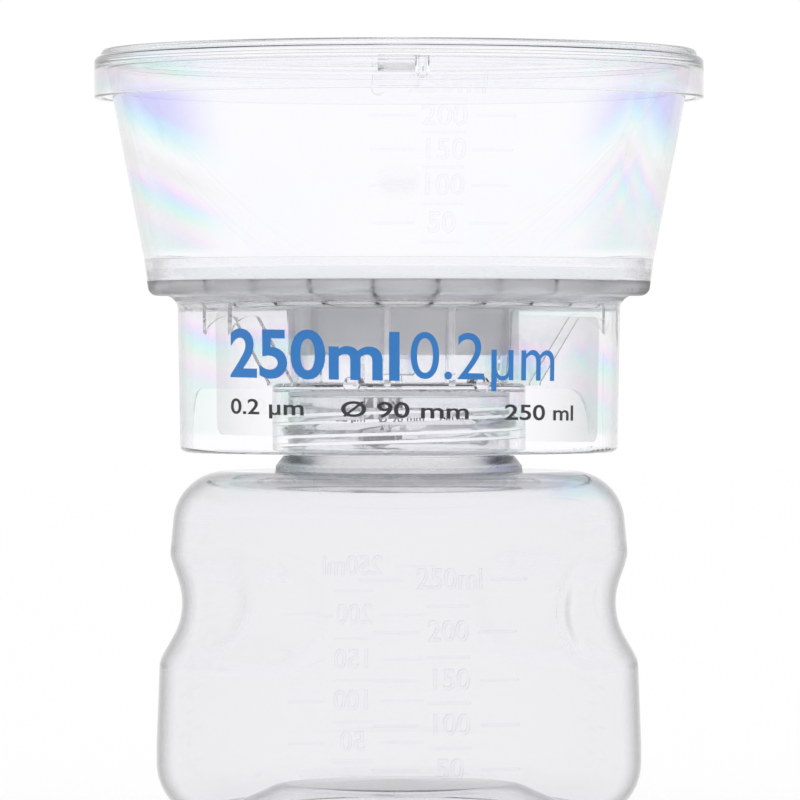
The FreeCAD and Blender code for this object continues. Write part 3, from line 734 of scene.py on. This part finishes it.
class FILTERUNIT_OT_bottle(bpy.types.Operator):
    """Makes the receiver bottle with its grips, thread and graduations"""
    bl_idname = "filterunit.bottle"
    bl_label = "Receiver Bottle"

    def execute(self, context):
        wall = BOTTLE_WALL
        outline = rounded([
            (0, PUSH_UP_Z), (PUSH_UP_R, PUSH_UP_Z - 1.0, 6.0), (STAND_R, 0, 0.8), (HEEL_R, 0, HEEL_ROUND),
            (HEEL_R, HEEL_TOP_Z), (BELLY_R, BELLY_Z), (SHOULDER_R, SHOULDER_Z, SHOULDER_ROUND),
            (BEAD_R, BEAD_LOW_Z, 0.3), (BEAD_R, BEAD_HIGH_Z, 0.3), (CHAMFER_R, CHAMFER_Z),
            (NECK_R, CHAMFER_Z, 0.3),
            (NECK_R, NECK_TOP_Z, 0.4), (NECK_BORE_R, NECK_TOP_Z, 0.4), (NECK_BORE_R, BEAD_LOW_Z - wall, 1.5),
            (SHOULDER_R - wall, SHOULDER_Z - wall, SHOULDER_ROUND - wall),
            (BELLY_R - wall, BELLY_Z), (HEEL_R - wall, HEEL_TOP_Z), (HEEL_R - wall, wall, HEEL_ROUND - wall),
            (STAND_R + 0.5, wall, 0.8), (PUSH_UP_R + 0.6, PUSH_UP_Z - 1.0 + wall, 6.0), (0, PUSH_UP_Z + wall),
        ], arc_step=7.5, longest=1.0)
        bottle = lathe("receiver_bottle_clear", outline, settings().segments, self.bend)
        stress = ((-0.95, 60.0, 8.0, 0.25), (0.9, 55.0, 8.0, 0.2), 60.0, 69.0, 0.7)
        neck_ring = ((17.0, 23.6), (62.5, 69.2), 0.3, 1.0, 0.5)
        # The bottle's walls get painted rim shade: the colour darkens to 0.1 where an outer wall turns side
        # on.
        copolyester = clear_plastic("clear copolyester", tuple(settings().bottle_tint), COPOLYESTER_IOR,
                                    stress, (neck_ring,), (0.1, 0.0), settings().bottle_smoke)
        set_material(bottle, copolyester)
        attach(bottle, "bottle")
        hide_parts("receiver_bottle")

        levels = [filling_level(volume, BOTTLE_FLOOR_Z, bottle_area) for volume in range(50, 251, 50)]
        halves = [filling_level(volume, BOTTLE_FLOOR_Z, bottle_area) for volume in range(25, 226, 50)]
        labels = [(str(v) + ("ml" if v == 250 else ""), 0.6 if v == 250 else 0.0, z)
                  for v, z in zip(range(50, 251, 50), levels)]
        bars = []
        for volume, z in zip(range(50, 251, 50), levels):
            spread = 12.8 if volume == 250 else 9.9
            bars += [(-spread, z, 8.6), (spread, z, 7.6)]
        bars += [(0.0, z, 8.1) for z in halves]
        # Painted shade: the figures' and bars' slopes glow light facing down and dark facing up, with a share
        # of up to 0.7.
        painted_relief_shade = thin_clear("bottle relief", (0.99, 0.99, 0.995), 0.02, 0.7)
        for number, side in enumerate((0.0, 180.0)):
            graduations(f"bottle_graduations_{number + 1}", "bottle", BOTTLE_TURN + side, bottle_radius,
                        labels, bars, settings().figure_height / MM, painted_relief_shade)
        return {"FINISHED"}

    def bend(self, r, z, angle):
        """Radius of the wall with the finger grips sunk in and the thread raised."""
        if z > CHAMFER_Z + 0.4 and r > NECK_R - 0.2:
            return r + thread_rise(z, angle)
        return gripped(r, z, angle)


def gripped(r, z, angle):
    """Radius of the bottle's wall where the finger grips sink into it."""
    if abs(z - GRIP_Z) > 17.0 or r < 30.0:
        return r
    inner = r < bottle_radius(z) - BOTTLE_WALL / 2
    ball = GRIP_ROUND + (BOTTLE_WALL if inner else 0.0)
    swing = (angle - front_angle(BOTTLE_TURN)) % math.pi - math.pi / 2
    beyond = max(0.0, abs(swing) - math.radians(GRIP_HALF_ANGLE)) * BELLY_R
    reach = math.hypot(z - GRIP_Z, beyond)
    if reach >= ball:
        return r
    groove = GRIP_DEEPEST_R + GRIP_ROUND - math.sqrt(ball ** 2 - reach ** 2)
    blend = max(0.0, 1.0 - abs(r - groove) / GRIP_LIP)
    return min(r, groove) - blend * blend * GRIP_LIP / 4


def thread_rise(z, angle):
    """Height of the neck's right-hand thread at a place, tapered at both ends."""
    turned_from_start = (angle - math.radians(BOTTLE_TURN)) % TURN
    best = 0.0
    for turns in range(math.ceil(THREAD_TURNS)):
        along = turned_from_start / TURN + turns
        if along > THREAD_TURNS:
            continue
        off = abs(z - THREAD_START_Z - THREAD_PITCH * along)
        flank = (THREAD_ROOT / 2 - off) / ((THREAD_ROOT - THREAD_CREST) / 2)
        taper = min(1.0, along / 0.06, (THREAD_TURNS - along) / 0.06)
        best = max(best, THREAD_HEIGHT * min(1.0, max(0.0, flank)) * taper)
    return best


def bottle_area(z):
    """Area inside the bottle at a height, with its grips."""
    steps = 72
    bore = bottle_radius(z) - BOTTLE_WALL
    return math.pi / steps * sum(gripped(bore, z, TURN * k / steps) ** 2 for k in range(steps))


def funnel_area(z):
    return math.pi * (funnel_radius(z) - FUNNEL_WALL) ** 2


def filling_level(volume_ml, floor_z, area_at):
    """Height of a filling, summed in thin layers from the floor."""
    layer = 0.05
    z = floor_z
    poured = 0.0
    while poured < volume_ml * 1000.0:
        z += layer
        poured += area_at(z) * layer
    return z


class FILTERUNIT_OT_gasket(bpy.types.Operator):
    """Gives the neck gasket its silicone finish"""
    bl_idname = "filterunit.gasket"
    bl_label = "Neck Gasket"

    def execute(self, context):
        silicone = plain_plastic("silicone", (0.86, 0.87, 0.88), 0.4, 0.5, 400.0, 0.00005)
        set_material(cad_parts["neck_gasket"], silicone)
        return {"FINISHED"}


class FILTERUNIT_OT_base(bpy.types.Operator):
    """Gives the clear filter base its finish, with the textured zones of its mould"""
    bl_idname = "filterunit.base"
    bl_label = "Filter Base"

    def execute(self, context):
        stress = ((-0.98, 94.5, 4.0, 0.2), (0.86, 92.0, 5.0, 0.12), 72.0, 97.5, 0.72)
        zones = (((17.5, 23.0), (87.7, 98.9), 0.55, 0.72, 0.3),
                 ((23.0, 49.5), (97.6, 101.75), 0.62, 1.0, 0.3))
        # The base's walls get painted rim shade, the colour darkened to 0.45 where an outer wall turns side
        # on.
        set_material(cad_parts["filter_base"], styrene("clear styrene base", stress, zones, 0.45))
        return {"FINISHED"}


class FILTERUNIT_OT_port(bpy.types.Operator):
    """Gives the hose adapter and the fibre plug their finishes"""
    bl_idname = "filterunit.port"
    bl_label = "Hose Port"

    def execute(self, context):
        natural = plain_plastic("natural polypropylene", (0.90, 0.90, 0.88), 0.32, 0.35, 500.0, 0.00004)
        set_material(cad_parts["hose_adapter"], natural)
        fibre = plain_plastic("white fibre", (0.93, 0.93, 0.91), 0.9, 0.0, 2500.0, 0.0003)
        set_material(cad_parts["fibre_plug"], fibre)
        return {"FINISHED"}


class FILTERUNIT_OT_membrane(bpy.types.Operator):
    """Gives the filter membrane its white microporous finish"""
    bl_idname = "filterunit.membrane"
    bl_label = "Membrane"

    def execute(self, context):
        white = plain_plastic("white membrane", (0.93, 0.93, 0.93), 0.75, 0.0, 1500.0, 0.00004)
        set_material(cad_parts["membrane"], white)
        return {"FINISHED"}


class FILTERUNIT_OT_funnel(bpy.types.Operator):
    """Makes the clear funnel with its raised graduations"""
    bl_idname = "filterunit.funnel"
    bl_label = "Funnel"

    def execute(self, context):
        foot_z = MEMBRANE_Z + MEMBRANE_THICK
        rim_z = FUNNEL_TOP_Z - LID_GAP
        outline = rounded([
            (FUNNEL_FOOT_BORE_R, foot_z), (CUP_BORE_R[0] - WELD_GAP, foot_z),
            (CUP_BORE_R[1] - WELD_GAP, CUP_TOP_Z), (CUP_TOP_R, CUP_TOP_Z, 0.1),
            (FUNNEL_TOP_R, rim_z, 0.4), (FUNNEL_TOP_R - FUNNEL_WALL, rim_z, 0.4),
        ], arc_step=15.0, longest=3.0)
        funnel = lathe("funnel_clear", outline, settings().segments)
        stress = ((-0.975, 123.2, 8.1, 0.225), (0.86, 126.4, 10.4, 0.12), 106.0, 138.5, 0.62)
        weld = ((46.3, 47.0), (foot_z + 0.1, foot_z + 2.2), 0.35, 0.97, 0.3)
        # The funnel's walls get painted rim shade, the colour darkened to 0.6 where an outer wall turns side
        # on.
        set_material(funnel, styrene("clear styrene funnel", stress, (weld,), 0.6))
        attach(funnel, "head")
        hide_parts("funnel")

        volumes = range(50, 251, 50)
        levels = [filling_level(volume, MARKS_FLOOR_Z, funnel_area) for volume in volumes]
        halves = [filling_level(volume - 25, MARKS_FLOOR_Z, funnel_area) for volume in volumes]
        labels = [(str(v) + ("ml" if v == 250 else ""), 0.5 if v == 250 else 0.0, z)
                  for v, z in zip(volumes, levels)]
        bars = []
        for volume, z in zip(volumes, levels):
            spread = 11.8 if volume == 250 else 8.9
            bars += [(-spread, z, 7.8), (spread, z, 7.2)]
        bars += [(0.0, z, 7.4) for z in halves]
        # Painted shade: the figures' and bars' slopes glow light facing down and dark facing up, with a share
        # of up to 0.24.
        painted_relief_shade = thin_clear("funnel relief", (0.99, 0.99, 0.995), 0.02, 0.24)
        graduations("funnel_graduations", "head", 0.0, funnel_radius, labels, bars,
                    settings().figure_height / MM, painted_relief_shade)
        return {"FINISHED"}


class FILTERUNIT_OT_lid(bpy.types.Operator):
    """Makes the clear lid"""
    bl_idname = "filterunit.lid"
    bl_label = "Lid"

    def execute(self, context):
        hollow = self.cap(GATE_HOLLOW, GATE_BOSS_Z)
        outline = rounded([
            (GATE_HOLLOW[0] + 0.02, GATE_BOSS_Z), (GATE_BOSS_R, GATE_BOSS_Z, 0.1),
            (GATE_BOSS_R, LID_PANEL_LOW_Z, 0.4), (PLUG_IN_R, LID_PANEL_LOW_Z, 0.4),
            (PLUG_IN_R, PLUG_BOTTOM_Z, 0.3), (PLUG_OUT_R, PLUG_BOTTOM_Z, 0.3),
            (PLUG_OUT_R, FUNNEL_TOP_Z, 0.1),
            (LID_BORE_R, FUNNEL_TOP_Z, 0.4), (LID_BORE_R, LID_BOTTOM_Z, 0.4), (LID_R, LID_BOTTOM_Z, 0.4),
            (LID_R, LID_SHOULDER_Z, 1.2), (LID_RIM_OUT_R, LID_SHOULDER_Z, 0.2),
            (LID_RIM_OUT_R, LID_TOP_Z, 0.9),
            (LID_RIM_IN_R, LID_TOP_Z, 0.7), (LID_RIM_IN_R - 0.3, LID_PANEL_HIGH_Z, 0.5),
            (0, LID_PANEL_HIGH_Z),
        ], arc_step=12.0, longest=6.0, closed=False)
        lid = lathe("lid_clear", outline + hollow, settings().segments)
        for side in (0.0, 180.0):
            self.add_vent(lid, side)
        stress = ((-0.97, 150.0, 6.0, 0.2), (0.86, 152.0, 6.0, 0.12), 136.5, 144.5, 0.6)
        gate_mark = ((0.0, GATE_BOSS_R + 0.3), (GATE_BOSS_Z, LID_TOP_Z), 0.35, 0.8, 0.2)
        # The lid's walls get painted rim shade, the colour darkened to 0.4 where an outer wall turns side on.
        set_material(lid, styrene("clear styrene lid", stress, (gate_mark,), 0.4))
        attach(lid, "head")
        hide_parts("lid")
        return {"FINISHED"}

    def cap(self, size, foot_z):
        """Outline of a shallow dome on a level, from its middle out. size holds its radius and height."""
        radius, height = size
        ball = (radius ** 2 + height ** 2) / (2 * height)
        steps = [radius * k / 10 for k in range(11)]
        return [(r, foot_z + height - ball + math.sqrt(ball ** 2 - r ** 2)) for r in steps]

    def add_vent(self, lid, side):
        """Joins a half-round vent rib with a round foot to the inside of the lid's skirt."""
        rib = lathe("vent_rib", rounded([
            (0, VENT_BOTTOM_Z), (VENT_R, VENT_BOTTOM_Z, VENT_R * 0.98), (VENT_R, LID_SHOULDER_Z - 0.5, 0.2),
            (0, LID_SHOULDER_Z - 0.5)]), 32)
        direction = front_angle(LID_TURN + side)
        for vertex in rib.data.vertices:
            vertex.co.x += VENT_CENTRE_R * math.cos(direction) * MM
            vertex.co.y += VENT_CENTRE_R * math.sin(direction) * MM
        fuse(lid, rib)


class FILTERUNIT_OT_label(bpy.types.Operator):
    """Makes the printed film on the skirt, with plain volume and pore size figures"""
    bl_idname = "filterunit.label"
    bl_label = "Label"

    def execute(self, context):
        film = self.make_film()
        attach(film, "head")
        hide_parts("label_film")
        blue = printed_ink("blue ink", settings().print_colour)
        dark = printed_ink("dark ink", settings().small_print_colour)
        for name, text, left, right, low, high, bold, ink in (
                ("label_print_volume", "250ml", -38.1, -3.0, 83.0, 92.0, 0.03, blue),
                ("label_print_pore", "0.2\u00b5m", -1.0, 28.3, 83.0, 92.0, 0.0, blue),
                ("label_print_small", "0.2 \u00b5m    \u00d8 90 mm    250 ml",
                 -38.1, 33.7, 76.2, 79.1, 0.02, dark)):
            self.print_text(name, text, left, right, low, high, bold, ink)
        return {"FINISHED"}

    def make_film(self):
        half = math.radians(LABEL_HALF_ANGLE) * skirt_radius(LABEL_MIDDLE_Z)
        corners = [(-half, -LABEL_HALF_HEIGHT), (half, -LABEL_HALF_HEIGHT),
                   (half, LABEL_HALF_HEIGHT), (-half, LABEL_HALF_HEIGHT)]
        outline = rounded([(x, z, LABEL_CORNER) for x, z in corners])
        bm = bmesh.new()
        low = [bm.verts.new((x * MM, LABEL_GAP * MM, z * MM)) for x, z in outline]
        bm.faces.new(low)
        slice_across(bm, 1.2 * MM)
        grown = bmesh.ops.extrude_face_region(bm, geom=bm.faces[:])
        for vertex in grown["geom"]:
            if isinstance(vertex, bmesh.types.BMVert):
                vertex.co.y += LABEL_THICK * MM
        film = finish_mesh("label_film_clear", bm)
        self.lay(film)
        # Painted shade: where the film turns side on it glows light facing down and dark facing up, with a
        # share of up to 0.25.
        set_material(film, thin_clear("label film", (0.992, 0.992, 0.995), 0.08, 0.25))
        return film

    def lay(self, piece):
        """Tilts a flat piece a little and bends it onto the skirt."""
        lean = math.tan(math.radians(LABEL_TILT))
        reference = skirt_radius(LABEL_MIDDLE_Z) * MM
        for vertex in piece.data.vertices:
            drop = lean * reference * math.sin(vertex.co.x / reference)
            vertex.co.z += LABEL_MIDDLE_Z * MM - drop
        wrap(piece.data, LABEL_TURN, skirt_radius, LABEL_MIDDLE_Z)

    def print_text(self, name, text, left, right, low, high, bold, ink):
        """Prints text between two places along the label, its figures between two heights."""
        flat = lettering(name, text, 10.0, bold * 10.0 * MM)
        flat.data.resolution_u = 6
        flat.data.extrude = 0.01 * MM
        mesh = as_mesh(flat)
        bm = bmesh.new()
        bm.from_mesh(mesh)
        bpy.data.meshes.remove(mesh)
        start, end = min(v.co.x for v in bm.verts), max(v.co.x for v in bm.verts)
        top = max(v.co.y for v in bm.verts)
        baseline = top - 10.0 * MM
        for vertex in bm.verts:
            across, up, out = vertex.co
            vertex.co = ((left + (across - start) / (end - start) * (right - left)) * MM,
                         out + (LABEL_GAP + LABEL_THICK + 0.02) * MM,
                         (low - LABEL_MIDDLE_Z + (up - baseline) / (10.0 * MM) * (high - low)) * MM)
        slice_across(bm, 1.2 * MM)
        piece = finish_mesh(name, bm)
        self.lay(piece)
        set_material(piece, ink)
        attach(piece, "head")


OPERATORS = (FILTERUNIT_OT_stage, FILTERUNIT_OT_bottle, FILTERUNIT_OT_gasket, FILTERUNIT_OT_base,
             FILTERUNIT_OT_port, FILTERUNIT_OT_membrane, FILTERUNIT_OT_funnel, FILTERUNIT_OT_lid,
             FILTERUNIT_OT_label)


class FILTERUNIT_PT_panel(bpy.types.Panel):
    """Lists the pieces of the filtration unit"""
    bl_idname = "FILTERUNIT_PT_panel"
    bl_label = "Filtration Unit"
    bl_space_type = "VIEW_3D"
    bl_region_type = "UI"
    bl_category = "Filtration"

    def draw(self, context):
        column = self.layout.column()
        for name in FilterUnitSettings.__annotations__:
            column.prop(context.scene.filter_unit, name)
        for operator in OPERATORS:
            column.operator(operator.bl_idname)


CLASSES = (FilterUnitSettings, *OPERATORS, FILTERUNIT_PT_panel)


def register():
    for cls in CLASSES:
        bpy.utils.register_class(cls)
    bpy.types.Scene.filter_unit = bpy.props.PointerProperty(type=FilterUnitSettings)


def unregister():
    del bpy.types.Scene.filter_unit
    for cls in reversed(CLASSES):
        bpy.utils.unregister_class(cls)


def main():
    register()
    for operator in OPERATORS:
        group, name = operator.bl_idname.split(".")
        getattr(getattr(bpy.ops, group), name)()


if __name__ == "__main__":
    main()
